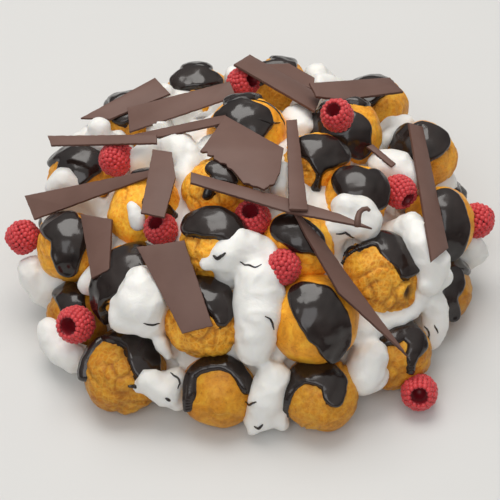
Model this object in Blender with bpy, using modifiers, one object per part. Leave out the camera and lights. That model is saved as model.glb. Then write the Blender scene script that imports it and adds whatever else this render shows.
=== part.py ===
"""A profiterole cake, built as the real one is: three tiers of glazed choux buns set round a mound of
whipped cream, with dollops of cream between them, raspberries, and thin shards of chocolate on top.

The cake stands on the plane z = 0. The origin is at the middle of its flat underside, +Z is up, and the
front faces -Y. Sizes and places in the tables are in millimetres; the meshes are made in metres.
"""

import math
import random

import bmesh
import bpy
from mathutils import Euler, Matrix, Vector, noise
from mathutils.bvhtree import BVHTree

MM = 0.001
GAP = 0.35                 # clear space between neighbouring pieces
EDGE_GROWTH = 1.6          # how much more a sharp-edged piece's skin moves, for the same gap at its faces
SEED = 31

# Buns: sides and rings of the sphere that each starts as, and how unevenly they have risen
BUN_SIDES = 10
BUN_RINGS = 7
BUN_SWELL = 0.075          # share of the radius
BUN_LUMP = 1.35            # lumps per radius
FOOT_POWER = 0.6           # under 1 flattens the underside

# (name, azimuth in degrees, reach from the middle, height of the centre, width, height, outward lean)
BUNS = (
    ("base_01", 203, 109, 18, 37, 34, 30),
    ("base_02", 230, 113, 19, 47, 36, 20),
    ("base_03", 258, 103, 18, 43, 34, 20),
    ("base_04", 287, 111, 18, 43, 34, 20),
    ("base_05", 313, 109, 19, 42, 36, 20),
    ("base_06", 343, 108, 18, 43, 34, 30),
    ("base_07", 18, 112, 19, 48, 37, 20),
    ("base_08", 55, 114, 19, 50, 37, 22),
    ("base_09", 92, 113, 18, 47, 35, 18),
    ("base_10", 129, 113, 19, 50, 37, 21),
    ("base_11", 166, 110, 18, 46, 35, 24),
    ("mid_01", 190, 105, 48, 40, 36, 40),
    ("mid_02", 219, 86, 52, 46, 38, 40),
    ("mid_03", 250, 83, 50, 45, 38, 40),
    ("mid_04", 290, 90, 52, 50, 40, 45),
    ("mid_05", 322, 86, 52, 50, 40, 40),
    ("mid_06", 354, 107, 50, 43, 38, 40),
    ("mid_07", 24, 111, 52, 42, 38, 35),
    ("mid_08", 48, 116, 56, 42, 36, 30),
    ("mid_09", 80, 105, 60, 42, 36, 22),
    ("mid_10", 107, 107, 58, 42, 36, 22),
    ("mid_11", 132, 108, 55, 42, 36, 24),
    ("mid_12", 159, 108, 50, 42, 36, 30),
    ("top_01", 194, 61, 71, 46, 35, 30),
    ("top_02", 249, 55, 78, 42, 36, 35),
    ("top_03", 294, 58, 76, 41, 32, 35),
    ("top_04", 343, 60, 77, 37, 35, 25),
    ("top_05", 34, 68, 78, 42, 36, 25),
    ("top_06", 93, 34, 84, 48, 38, 20),
    ("top_07", 9, 37, 82, 38, 34, 20),
    ("top_08", 223, 26, 86, 38, 34, 20),
)

# The mound of cream inside: (radius, height) of its outline from the crown down
MOUND = ((22, 86), (52, 77), (76, 61), (91, 42), (98, 22), (97, 8), (93, -6))

# Dollops that show between the buns, each a run of soft balls (x, y, z, radius)
DOLLOPS = {
    "left_low": ((-126, -15, 26, 10), (-122, -20, 14, 8), (-112, -22, 30, 8)),
    "left_front": ((-114, -57, 18, 9), (-109, -64, 13, 9), (-101, -71, 15, 8)),
    "peaked_dollop": ((-61, -77, 61, 14), (-60, -69, 67, 10), (-70, -80, 55, 9), (-57, -84, 52, 10)),
    "thread": ((-52, -90, 45, 4), (-48, -92, 36, 4)),
    "foot_left": ((-58, -102, 28, 7), (-50, -104, 21, 8), (-45, -98, 24, 7)),
    "smear_top": ((-15, -66, 82, 9), (-8, -60, 85, 9), (4, -62, 79, 9)),
    "long_smear": ((1, -75, 73, 12), (1, -87, 62, 12), (-2, -98, 47, 10)),
    "foot_middle": ((8, -106, 32, 9), (3, -111, 22, 10), (-2, -115, 10, 7), (8, -113, 12, 7)),
    "foot_right": ((60, -94, 32, 9), (55, -100, 23, 10), (62, -98, 20, 7)),
    "under_mid_05": ((50, -84, 40, 7), (62, -78, 38, 8), (76, -72, 38, 8), (87, -63, 38, 7)),
    "right_low": ((98, -62, 36, 7), (97, -66, 26, 8), (94, -68, 17, 7)),
    "right_tongue": ((84, -38, 72, 8), (90, -47, 69, 10), (95, -55, 61, 10), (94, -60, 53, 7)),
    "top_right": ((49, -38, 87, 8), (58, -37, 84, 8), (61, -43, 80, 7), (42, -48, 83, 7)),
    "by_mid_07": ((73, 13, 73, 8), (83, 13, 69, 10), (91, 5, 66, 8)),
    "back_right": ((84, 63, 61, 6), (92, 66, 59, 6), (80, 48, 64, 4)),
    "back_top": ((42, 82, 78, 7), (52, 84, 74, 7)),
    "centre_back": ((28, 46, 83, 9), (29, 35, 84, 7)),
    "centre": ((14, -26, 94, 5), (17, -13, 95, 5)),
    "behind_shards": ((-47, 88, 66, 7), (-38, 88, 64, 8)),
    "back_left": ((-90, 66, 61, 7), (-101, 62, 57, 7), (-80, 58, 60, 7)),
    "left_peak": ((-108, 24, 62, 7), (-114, 22, 57, 6)),
    "top_left": ((-63, 22, 77, 7), (-52, 31, 80, 8), (-41, 22, 82, 10), (-33, 9, 83, 8), (-37, -3, 82, 7)),
    "top_left_tail": ((-35, -12, 79, 6), (-29, -20, 76, 5)),
    "left_mid": ((-76, -24, 58, 6), (-68, -27, 60, 6), (-92, -45, 44, 6)),
    "right_far": ((127, -8, 22, 8), (122, -10, 32, 8)),
    "front_gap": ((14, -90, 40, 8), (100, -50, 46, 7)),
}

# Seeded dollops that fill the gaps of the back, which is finished like the front
BACK_TIERS = (             # (reach, height, radius, azimuths from and to, step in degrees)
    (116, 34, 12, -2, 178, 24),
    (113, 13, 11, -2, 178, 36),
    (103, 66, 9, 64, 150, 28),
    (78, 66, 10, 30, 150, 34),
)
ROOT_STEP = 8              # spacing of the balls that root each dollop in the mound
CROWN = 68                 # dollops higher than this stand on the mound, and lower ones on its side
CROWN_STEP = 6
ROOT_FALL = 0.5            # how far the roots on the side fall for each millimetre inward

CREAM_VOXEL = 4.0
CREAM_FACES = 2000

# Raspberries: (name, place, width, length, azimuth and elevation of the side where the hollow opens)
RASPBERRIES = (
    ("raspberry_01", (-132, -3, 43), 19, 21, 200, -30),
    ("raspberry_02", (-98, -69, 38), 22, 21, 215, 25),
    ("raspberry_03", (-77, 24, 76), 20, 21, 70, 10),
    ("raspberry_04", (-50, -38, 78), 20, 19, 120, 65),
    ("raspberry_05", (0, -42, 87), 20, 22, 110, 60),
    ("raspberry_06", (14, -70, 78), 20, 20, 80, -25),
    ("raspberry_07", (-3, 80, 84), 19, 21, 330, 35),
    ("raspberry_08", (48, 20, 104), 20, 19, 230, 60),
    ("raspberry_09", (81, -12, 75), 20, 19, 300, -5),
    ("raspberry_10", (127, -7, 46), 19, 20, 60, 20),
    ("raspberry_11", (86, -102, 10.5), 20, 21, 262, 34),
    ("raspberry_12", (-14, 128, 40), 20, 20, 95, 30),
)
BERRY_SIDES = 8
BERRY_RINGS = 7
BERRY_BUMP = 0.05

# Chocolate shards: (name, centre, rotation in degrees, outline round the shard's own middle)
SHARD_THICKNESS = 1.5
SHARDS = (
    ("shard_01", (-74, 76, 73), (3, -11, 21), ((-27, 3), (24, 9), (27, -9), (-12, -8))),
    ("shard_02", (-40, 62, 84), (14, -15, 4), ((-32, 9), (31, 6), (33, -6), (-33, -9))),
    ("shard_03", (-84, 27, 86), (6, -11, -16), ((-35, 4), (-30, -4), (35, -3), (33, 4))),
    ("shard_04", (-41, 28, 93), (5, -19, -10), ((-31, 3), (-29, -4), (31, -3), (29, 4))),
    ("shard_05", (-91, -3, 74), (20, -27, -15), ((-46, 9), (-36, -9), (46, -1), (44, 3))),
    ("shard_06", (-49, -22, 94), (2, 8, -96), ((-24, -7), (-22, 4), (-4, 8), (24, 5), (21, -8))),
    ("shard_07", (-83, -35, 69), (34, 4, -79), ((-25, -9), (-7, 10), (25, 2), (23, -10))),
    ("shard_08", (-39, -76, 74), (24, 30, -61), ((-28, -12), (-19, 12), (28, 5), (24, -11))),
    ("shard_09", (46, -82, 71), (-11, 36, -43),
     ((-48, 4), (-44, 6), (-26, 8), (-1, 6), (48, 4), (-1, -7), (-34, 0))),
    ("shard_10", (13, -48, 101), (-2, 3, -22), ((-51, 5), (-48, -3), (8, -5), (51, 0), (32, 4), (4, 5))),
    ("shard_11", (-4, -10, 105), (-1, 1, -68),
     ((-32, 3), (-15, 11), (6, 21), (23, 11), (30, 5), (32, -2), (23, -10), (12, -11), (-10, -21))),
    ("shard_12", (23, -18, 102), (-11, -2, -90), ((-37, -3), (-39, 3), (38, 5), (39, -5))),
    ("shard_13", (98, -13, 76), (-35, 0, -90), ((-55, -7), (-59, 4), (41, 7), (59, -7))),
    ("shard_14", (19, 67, 91), (-20, 1, -47), ((-28, -12), (-35, 9), (22, 12), (35, -9))),
    ("shard_15", (27, 92, 83), (-1, -3, -44), ((-22, -6), (-8, 6), (14, 4), (22, -6))),
    ("shard_16", (61, 57, 90), (-1, 16, 27), ((-26, 10), (-30, -4), (-15, -10), (29, -8), (30, 8))),
)
REST_STEP = 0.4            # how finely a piece is moved until it rests on what is under it
REST_RANGE = 9             # how far it is moved either way

# (colour, roughness)
FINISHES = {
    "choux": ((0.62, 0.30, 0.07, 1.0), 0.62),
    "cream": ((0.86, 0.84, 0.79, 1.0), 0.55),
    "raspberry": ((0.50, 0.03, 0.05, 1.0), 0.45),
    "chocolate": ((0.13, 0.075, 0.058, 1.0), 0.50),
}


def clear_scene():
    """Remove whatever the scene starts with."""
    for obj in list(bpy.data.objects):
        bpy.data.objects.remove(obj)


def new_collection(name, hidden=False):
    """Make a collection in the scene."""
    group = bpy.data.collections.new(name)
    bpy.context.scene.collection.children.link(group)
    group.hide_render = hidden
    return group


def make_materials():
    """One Principled material for each kind of food."""
    made = {}
    for name, (colour, roughness) in FINISHES.items():
        material = bpy.data.materials.new(name)
        material.use_nodes = True
        shader = material.node_tree.nodes["Principled BSDF"]
        shader.inputs["Base Color"].default_value = colour
        shader.inputs["Roughness"].default_value = roughness
        shader.inputs["Metallic"].default_value = 0.0
        made[name] = material
    return made


def add_object(name, shape, group, material=None, place=(0, 0, 0)):
    """Turn a bmesh in millimetres into an object, its origin at the given place."""
    bmesh.ops.scale(shape, vec=(MM, MM, MM), verts=shape.verts)
    bmesh.ops.triangulate(shape, faces=shape.faces)
    mesh = bpy.data.meshes.new(name)
    shape.to_mesh(mesh)
    shape.free()
    obj = bpy.data.objects.new(name, mesh)
    obj.location = Vector(place) * MM
    if material is not None:
        mesh.materials.append(material)
        mesh.shade_smooth()
    group.objects.link(obj)
    return obj


def apply_modifiers(obj):
    """Replace an object's mesh with what its modifiers make of it."""
    bpy.context.view_layer.update()
    evaluated = obj.evaluated_get(bpy.context.evaluated_depsgraph_get())
    mesh = bpy.data.meshes.new_from_object(evaluated)
    before = obj.data
    obj.modifiers.clear()
    obj.data = mesh
    bpy.data.meshes.remove(before)


def polar(azimuth, reach, height):
    """A place given by its azimuth in degrees, its distance from the middle and its height."""
    turn = math.radians(azimuth)
    return Vector((reach * math.cos(turn), reach * math.sin(turn), height))


# ---- buns

def bun_shape(width, height, offset):
    """A choux bun round its own centre: a low dome on a flatter foot, risen unevenly."""
    shape = bmesh.new()
    bmesh.ops.create_uvsphere(shape, u_segments=BUN_SIDES, v_segments=BUN_RINGS, radius=1.0)
    for vert in shape.verts:
        swell = 1 + BUN_SWELL * noise.noise(vert.co * BUN_LUMP + offset)
        x, y, z = vert.co
        if z < 0:
            z = -(-z) ** FOOT_POWER
        vert.co = Vector((x * width / 2, y * width / 2, z * height / 2)) * swell
    return shape


def make_bun(row, rng, group, material):
    """Place one bun, leaning outward, and flatten it where it stands on the surface below."""
    name, azimuth, reach, centre_height, width, height, lean = row
    offset = Vector((rng.uniform(0, 50), rng.uniform(0, 50), rng.uniform(0, 50)))
    shape = bun_shape(width, height, offset)
    shape.transform(Euler((0, math.radians(lean), math.radians(azimuth))).to_matrix().to_4x4())
    for vert in shape.verts:
        vert.co.z = max(vert.co.z, -centre_height)
    return add_object(name, shape, group, material, polar(azimuth, reach, centre_height))


# ---- raspberries

def berry_shape(width, length):
    """A raspberry along +Z with its hollow open at the top, and bumps in staggered rows."""
    shape = bmesh.new()
    bmesh.ops.create_uvsphere(shape, u_segments=BERRY_SIDES, v_segments=BERRY_RINGS, radius=1.0)
    for vert in shape.verts:
        x, y, z = vert.co
        ring = round(math.acos(max(-1.0, min(1.0, z))) / math.pi * BERRY_RINGS)
        side = round(math.atan2(y, x) / math.tau * BERRY_SIDES)
        bump = 1 + BERRY_BUMP * (1 if (ring + side) % 2 else -1)
        if ring == 0:                       # the bottom of the hollow
            vert.co = (0, 0, 0.12)
        elif ring == 1:                     # the hollow's wall
            vert.co = (x * 0.75, y * 0.75, 0.25)
        elif ring == 2:                     # the rim
            vert.co = (x * 0.9, y * 0.9, z * 1.1)
        else:
            taper = 1.04 if z > -0.5 else 0.97
            vert.co = (x * bump * taper, y * bump * taper, z * bump)
    bmesh.ops.scale(shape, vec=(width / 2, width / 2, length / 2), verts=shape.verts)
    return shape


def make_berry(row, group, material):
    """A raspberry with its hollow facing the given way."""
    name, place, width, length, azimuth, elevation = row
    shape = berry_shape(width, length)
    tip = math.radians(90 - elevation)
    shape.transform(Euler((0, tip, math.radians(azimuth))).to_matrix().to_4x4())
    return add_object(name, shape, group, material, place)


# ---- shards

def make_shard(row, group, material):
    """A thin plate of chocolate, from its outline."""
    name, centre, turn, outline = row
    curve = bpy.data.curves.new(name, "CURVE")
    curve.dimensions = "2D"
    curve.fill_mode = "BOTH"
    curve.extrude = SHARD_THICKNESS / 2 * MM
    spline = curve.splines.new("POLY")
    spline.points.add(len(outline) - 1)
    for point, (x, y) in zip(spline.points, outline):
        point.co = (x * MM, y * MM, 0, 1)
    spline.use_cyclic_u = True
    drawn = bpy.data.objects.new(name + "_outline", curve)
    group.objects.link(drawn)
    bpy.context.view_layer.update()
    mesh = bpy.data.meshes.new_from_object(drawn.evaluated_get(bpy.context.evaluated_depsgraph_get()))
    bpy.data.objects.remove(drawn)
    bpy.data.curves.remove(curve)
    shape = bmesh.new()
    shape.from_mesh(mesh)
    bpy.data.meshes.remove(mesh)
    bmesh.ops.remove_doubles(shape, verts=shape.verts, dist=0.00005)
    bmesh.ops.recalc_face_normals(shape, faces=shape.faces)
    bmesh.ops.scale(shape, vec=(1 / MM, 1 / MM, 1 / MM), verts=shape.verts)
    shape.transform(Euler([math.radians(angle) for angle in turn]).to_matrix().to_4x4())
    obj = add_object(name, shape, group, material, centre)
    obj.data.shade_flat()
    return obj


def shard_normal(row):
    """The upward normal of a shard's plate."""
    turn = Euler([math.radians(angle) for angle in row[2]])
    return turn.to_matrix() @ Vector((0, 0, 1))


# ---- resting and cutting

def grown_tree(obj, shift, grow):
    """A search tree of an object's faces, moved by shift and with its skin pushed out by grow."""
    vertices = [vert.co + obj.location + shift + vert.normal * grow for vert in obj.data.vertices]
    polygons = [tuple(polygon.vertices) for polygon in obj.data.polygons]
    return BVHTree.FromPolygons(vertices, polygons)


def come_to_rest(obj, direction, others):
    """Move a piece in along -direction until it touches, or out until it is clear."""
    trees = [grown_tree(other, Vector(), 0) for other in others]
    step = Vector(direction).normalized() * REST_STEP * MM
    count = round(REST_RANGE / REST_STEP)

    def touches(number):
        tree = grown_tree(obj, step * number, GAP * MM)
        return any(tree.overlap(other) for other in trees)

    if touches(0):
        number = next((n for n in range(1, 2 * count) if not touches(n)), 0)
    else:
        number = next((n for n in range(0, -count, -1) if touches(n - 1)), 0)
    obj.location += step * number


def close_hollow(mesh):
    """Put a mesh's convex hull in its place."""
    shape = bmesh.new()
    for vert in mesh.vertices:
        shape.verts.new(vert.co)
    made = bmesh.ops.convex_hull(shape, input=shape.verts)
    inside = [item for item in made["geom_interior"] if isinstance(item, bmesh.types.BMVert)]
    bmesh.ops.delete(shape, geom=inside, context="VERTS")
    bmesh.ops.recalc_face_normals(shape, faces=shape.faces)
    shape.to_mesh(mesh)
    shape.free()


def grown_copy(obj, gap, group):
    """A copy of a solid whose skin is pushed out by gap, to cut its neighbours with."""
    mesh = obj.data.copy()
    if obj.name.startswith("raspberry"):
        close_hollow(mesh)
    for vert, normal in [(vert, vert.normal.copy()) for vert in mesh.vertices]:
        vert.co += normal * gap * MM
    cutter = bpy.data.objects.new(obj.name + "_cutter", mesh)
    cutter.location = obj.location
    cutter.hide_render = True
    cutter.display_type = "WIRE"
    group.objects.link(cutter)
    return cutter


def cut(obj, cutters, solver):
    """Cut the cutters out of an object."""
    for cutter in cutters:
        modifier = obj.modifiers.new(cutter.name, "BOOLEAN")
        modifier.operation = "DIFFERENCE"
        modifier.solver = solver
        modifier.object = cutter
    apply_modifiers(obj)
    shape = bmesh.new()
    shape.from_mesh(obj.data)
    bmesh.ops.triangulate(shape, faces=shape.faces)
    shape.to_mesh(obj.data)
    shape.free()


def remove_all(objects):
    """Remove objects that were only needed on the way."""
    for obj in list(objects):
        bpy.data.objects.remove(obj)


def squash_together(buns, skins):
    """Press each bun against the ones laid before it and the berries set into it, by cutting it there."""
    trees = [grown_tree(skin, Vector(), 0) for skin in skins]
    for number, bun in enumerate(buns):
        tree = grown_tree(bun, Vector(), 0)
        against = list(range(number)) + list(range(len(buns), len(skins)))
        touching = [skins[other] for other in against if tree.overlap(trees[other])]
        if touching:
            cut(bun, touching, "EXACT")


# ---- cream

def ball(shape, place, radius):
    """Add one soft ball of cream to a shape."""
    turn = Matrix.Translation(place)
    bmesh.ops.create_icosphere(shape, subdivisions=2, radius=radius, matrix=turn)


def mound_shape():
    """The mound: a turned profile, closed at the crown and the foot."""
    shape = bmesh.new()
    profile = [(0.0, MOUND[0][1] + 3.0), *MOUND, (0.0, MOUND[-1][1])]
    verts = [shape.verts.new((radius, 0, height)) for radius, height in profile]
    edges = [shape.edges.new(pair) for pair in zip(verts, verts[1:])]
    bmesh.ops.spin(shape, geom=verts + edges, cent=(0, 0, 0), axis=(0, 0, 1), angle=math.tau, steps=32)
    bmesh.ops.remove_doubles(shape, verts=shape.verts, dist=0.05)
    bmesh.ops.recalc_face_normals(shape, faces=shape.faces)
    return shape


def mound_radius(height):
    """The mound's radius at a height."""
    for (upper, top), (lower, bottom) in zip(MOUND, MOUND[1:]):
        if bottom <= height <= top:
            return lower + (upper - lower) * (height - bottom) / (top - bottom)
    return MOUND[0][0]


def rooted_ball(shape, place, radius):
    """A ball of cream, with smaller ones under or behind it until the run reaches the mound."""
    ball(shape, place, radius)
    reach = math.hypot(place.x, place.y)
    if place.z > CROWN and reach < MOUND[2][0]:
        under = place.copy()
        while reach > mound_radius(under.z) - ROOT_STEP:
            under.z -= CROWN_STEP
            ball(shape, under, radius * 0.85)
        return
    inward = Vector((-place.x, -place.y, 0)) / reach - Vector((0, 0, ROOT_FALL))
    depth = ROOT_STEP
    while reach - depth > mound_radius(place.z) - ROOT_STEP:
        ball(shape, place + inward * depth, radius * 0.85)
        depth += ROOT_STEP


def cream_shape(rng):
    """The mound with every dollop, still as separate closed shapes."""
    shape = mound_shape()
    for run in DOLLOPS.values():
        for x, y, z, radius in run:
            rooted_ball(shape, Vector((x, y, z)), radius)
    for reach, height, radius, first, last, step in BACK_TIERS:
        for azimuth in range(first, last, step):
            place = polar(azimuth + rng.uniform(-3, 3), reach + rng.uniform(-2, 2), height + rng.uniform(-3, 3))
            rooted_ball(shape, place, radius * rng.uniform(0.85, 1.15))
    return shape


def keep_largest(obj):
    """Drop loose scraps, keeping the part with the largest volume."""
    shape = bmesh.new()
    shape.from_mesh(obj.data)
    shape.verts.ensure_lookup_table()
    left = set(shape.verts)
    parts = []
    while left:
        part = set()
        front = [left.pop()]
        while front:
            vert = front.pop()
            part.add(vert)
            for edge in vert.link_edges:
                other = edge.other_vert(vert)
                if other in left:
                    left.remove(other)
                    front.append(other)
        parts.append(part)
    parts.sort(key=len, reverse=True)
    for part in parts[1:]:
        bmesh.ops.delete(shape, geom=list(part), context="VERTS")
    shape.to_mesh(obj.data)
    shape.free()


def cut_flat(obj, height):
    """Cut an object off flat at a height and close the cut."""
    shape = bmesh.new()
    shape.from_mesh(obj.data)
    geometry = shape.verts[:] + shape.edges[:] + shape.faces[:]
    made = bmesh.ops.bisect_plane(
        shape, geom=geometry, plane_co=(0, 0, height), plane_no=(0, 0, -1), clear_outer=True)
    rim = [item for item in made["geom_cut"] if isinstance(item, bmesh.types.BMEdge)]
    filled = bmesh.ops.holes_fill(shape, edges=rim, sides=0)
    bmesh.ops.triangulate(shape, faces=filled["faces"])
    bmesh.ops.recalc_face_normals(shape, faces=shape.faces)
    shape.to_mesh(obj.data)
    shape.free()


def make_cream(cutters, rng, group, material):
    """Whipped cream: mound and dollops run together, smoothed, then pressed round all that it holds."""
    cream = add_object("whipped_cream", cream_shape(rng), group, material)
    remesh = cream.modifiers.new("remesh", "REMESH")
    remesh.mode = "VOXEL"
    remesh.voxel_size = CREAM_VOXEL * MM
    smooth = cream.modifiers.new("smooth", "SMOOTH")
    smooth.factor = 0.5
    smooth.iterations = 4
    apply_modifiers(cream)
    thin = cream.modifiers.new("thin", "DECIMATE")
    thin.ratio = min(1.0, CREAM_FACES / sum(len(polygon.vertices) - 2 for polygon in cream.data.polygons))
    thin.use_collapse_triangulate = True
    apply_modifiers(cream)
    cut_flat(cream, 0.0)
    cut(cream, cutters, "MANIFOLD")
    keep_largest(cream)
    return cream


# ---- the cake

def build():
    """Lay the buns, the raspberries and the shards, then fill with cream."""
    clear_scene()
    cake = new_collection("profiterole_cake")
    tools = new_collection("cutters", hidden=True)
    materials = make_materials()
    rng = random.Random(SEED)

    buns = [make_bun(row, rng, cake, materials["choux"]) for row in BUNS]
    skins = [grown_copy(bun, GAP, tools) for bun in buns]

    berries = [make_berry(row, cake, materials["raspberry"]) for row in RASPBERRIES]
    skins += [grown_copy(berry, GAP * EDGE_GROWTH, tools) for berry in berries]
    squash_together(buns, skins)

    placed = buns + berries
    for row in SHARDS:
        shard = make_shard(row, cake, materials["chocolate"])
        come_to_rest(shard, shard_normal(row), placed)
        placed.append(shard)

    shards = placed[len(skins):]
    skins += [grown_copy(shard, GAP * EDGE_GROWTH, tools) for shard in shards]
    make_cream(skins, rng, cake, materials["cream"])
    remove_all(skins)


build()
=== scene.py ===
"""The looks of the profiterole cake: choux crust with its cracks, poured chocolate glaze, whipped cream
in soft lobes, raspberries built of drupelets and thin shards of chocolate, all set round the solids.

The meshes are in metres, in the frame of the solids. The tables are in millimetres and degrees: azimuth
0 is +X, 270 is the front, and elevation 90 is straight up.
"""

import math
import random

import bmesh
import bpy
import numpy as np
from mathutils import Euler, Matrix, Vector, noise
from mathutils.bvhtree import BVHTree


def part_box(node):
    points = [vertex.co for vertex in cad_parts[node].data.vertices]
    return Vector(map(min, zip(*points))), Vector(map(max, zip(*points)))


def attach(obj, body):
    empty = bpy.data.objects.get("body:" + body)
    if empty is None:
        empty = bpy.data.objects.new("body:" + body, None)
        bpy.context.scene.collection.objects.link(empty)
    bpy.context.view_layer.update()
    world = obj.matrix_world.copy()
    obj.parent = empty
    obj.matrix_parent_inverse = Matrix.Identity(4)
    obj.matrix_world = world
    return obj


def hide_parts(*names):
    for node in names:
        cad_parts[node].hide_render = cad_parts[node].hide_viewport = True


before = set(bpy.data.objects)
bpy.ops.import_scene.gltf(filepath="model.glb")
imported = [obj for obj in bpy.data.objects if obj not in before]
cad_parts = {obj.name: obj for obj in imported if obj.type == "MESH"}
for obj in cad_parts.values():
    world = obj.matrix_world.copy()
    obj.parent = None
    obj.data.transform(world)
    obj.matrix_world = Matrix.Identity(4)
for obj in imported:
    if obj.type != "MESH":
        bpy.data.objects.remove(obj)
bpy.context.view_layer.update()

MM = 0.001
SEED = 7

# ---- choux crust
CRUST_CELLS = 28           # cells along each edge of the cube that a bun is blown up from
FACET_BLUR = 16.0          # degrees over which the solid's facets are smoothed away
BUN_FILL = 1.022           # makes up for the facets, which lie inside the round form
PLATE_SIZE = 10.0          # millimetres between the cracks
PLATE_DOME = 0.9
CRACK_DEPTH = 1.1
CRACK_WIDTH = 0.13         # share of a plate
CRACK_BEND, CRACK_BEND_SIZE = 2.2, 9.0
PATCH_SIZE = 16.0          # of the rough and the smooth patches
LUMP_SIZE, LUMP_HEIGHT = 13.0, 1.8
GRAIN_SIZE, GRAIN_HEIGHT = 3.2, 0.55
CREASE_DEPTH = 1.5
CREASE_WIDTH = 0.045       # share of the bun's radius, as are the next two
CREASE_LIP, CREASE_LIP_WIDTH = 0.12, 0.07
RELIEF_RANGE = 3.2         # millimetres of relief from the palest to the brownest

# How craggy each bun's crust is: 1 for the roughest. The others take CRAG_USUAL.
CRAG_USUAL = 0.6
CRAG = {"base_02": 0.85, "base_03": 0.3, "base_06": 0.3, "mid_03": 1.0, "mid_04": 0.15, "mid_05": 1.1,
        "mid_06": 0.25, "top_02": 0.9, "top_03": 0.5, "top_06": 0.25, "top_07": 0.9, "top_08": 1.0}

# Painted shade and light by ring: how much darker each ring of buns is painted, as a share (the low ring
# darker as painted shade, the top ring lighter as painted light), and how far a single bun's own tone differs
# at random
RING_PAINTED_SHADE = {"base": 0.33, "mid": 0.02, "top": -0.14}
BUN_TONE_RANGE = 0.08
# A burst bubble in the crust: azimuth, elevation, radius and depth
PITS = {"mid_05": (310, 5, 4.4, 3.2)}
PIT_RIM, PIT_RIM_PLACE, PIT_RIM_WIDTH = 0.9, 1.35, 0.3   # the last two as shares of its radius

# ---- glaze
GLAZE_CELLS = 24
GLAZE_THICKNESS = 2.1
GLAZE_BED = 0.7            # how far the crust may stand above the smooth bun under it
GLAZE_LIP = 2.6            # millimetres over which its edge rounds off
GLAZE_POOL = 1.7           # how much thicker it hangs at a lower edge
GLAZE_SINK = 1.3           # how far the hidden border goes under the crust
GLAZE_WAVE, GLAZE_WAVE_SIZE = 1.1, 7.0      # of its edge
GLAZE_SWELLS = ((0.9, 9.0), (0.35, 4.0))    # (height, size) of its surface
GLAZE_MERGE = 0.3          # how sharply two strokes meet: less is softer
GLAZE_SPARE = 3.0          # millimetres of the grid kept outside the edge, and cut off at the end
GLAZE_FINE = (3.2, 1.6)    # distances from the edge within which the grid is divided, once for each

# Where the glaze lies on each bun: strokes through (azimuth, elevation, half-width), seen from its middle
GLAZE = {
    "base_01": (((130, 40, 20), (230, 75, 27), (268, 50, 22)),),
    "base_02": (((190, 5, 8), (160, 25, 13), (125, 32, 15), (100, 55, 20), (25, 60, 27), (335, 50, 27),
                 (317, 30, 19), (312, 10, 12)),),
    "base_03": (((220, 2, 8), (210, 25, 10), (185, 42, 12), (165, 65, 16), (55, 80, 17), (355, 60, 16),
                 (330, 33, 13)),),
    "base_04": (((205, -15, 7), (205, 15, 11), (192, 40, 16), (175, 65, 24), (300, 85, 28), (320, 62, 25),
                 (298, 42, 19)),),
    "base_05": (((215, 52, 13), (235, 75, 20), (10, 75, 25), (330, 48, 20), (300, 38, 11), (291, 12, 6)),),
    "base_06": (((266, 42, 26), (308, 55, 32), (20, 75, 30), (30, 30, 24)), ((280, 25, 20), (290, -2, 14))),
    "mid_01": (((155, 70, 34), (285, 66, 31), (268, 38, 27), (268, 12, 19)),),
    "mid_02": (((218, -28, 11), (211, 2, 15), (190, 40, 20), (150, 80, 24), (45, 50, 26)), ((212, 14, 15),
               (226, 45, 25), (250, 68, 27))),
    "mid_03": (((65, 80, 22), (350, 70, 26), (318, 48, 19), (305, 36, 10)),),
    "mid_04": (((195, 72, 18), (275, 65, 33), (290, 40, 35), (295, 12, 25), (292, -6, 14)),),
    "mid_05": (((40, 75, 20), (345, 66, 27), (335, 45, 23), (318, 38, 12)), ((40, 75, 14), (101, 82, 12),
               (185, 58, 4), (190, 27, 2))),
    "mid_06": (((290, 78, 28), (282, 55, 33), (278, 28, 33), (277, 2, 25)),),
    "mid_07": (((180, 52, 28), (235, 48, 34), (285, 70, 38), (330, 62, 26)), ((232, 40, 26), (240, 12, 12))),
    "mid_08": (((155, 60, 28), (60, 70, 26)), ((240, 60, 20), (315, 80, 18))),
    "mid_09": (((200, 60, 26), (300, 75, 26), (60, 55, 24)), ((90, 40, 12), (90, 5, 7))),
    "mid_10": (((200, 60, 26), (310, 75, 26), (345, 52, 15)), ((90, 60, 30), (110, 30, 12))),
    "mid_11": (((250, 60, 24), (120, 70, 30)), ((130, 40, 16), (135, 5, 7))),
    "mid_12": (((250, 40, 22), (265, 65, 36), (320, 70, 32)), ((150, 60, 24), (160, 25, 9))),
    "top_01": (((285, 55, 11), (320, 18, 8)), ((100, 60, 18), (60, 40, 16))),
    "top_02": (((172, 48, 22), (202, 78, 30), (332, 55, 27), (334, 32, 12)),),
    "top_03": (((200, 66, 26), (272, 62, 31), (307, 42, 22), (300, 30, 10)),),
    "top_04": (((185, 66, 26), (270, 65, 40), (315, 42, 33), (355, 50, 22)),),
    "top_05": (((180, 30, 24), (234, 48, 38), (275, 40, 35), (290, 10, 19)), ((60, 50, 26), (130, 50, 24))),
    "top_06": (((205, 55, 24), (234, 72, 30), (300, 60, 28), (263, 32, 19)), ((120, 60, 22), (80, 35, 20))),
    "top_07": (((205, 68, 27), (300, 63, 34), (345, 38, 22)), ((275, 46, 14), (273, 24, 7), (265, -10, 11),
               (262, -35, 9))),
    "top_08": (((230, 80, 15), (295, 65, 16), (310, 50, 11)), ((255, 50, 8), (250, 28, 7))),
}
# The others, at the back: a cap that leans outward with a few runs down from it, drawn from the seed
BACK_CAP = 40
BACK_RUNS = 3
BACK_RUN_TURN = 50         # degrees from one run to the next

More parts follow.
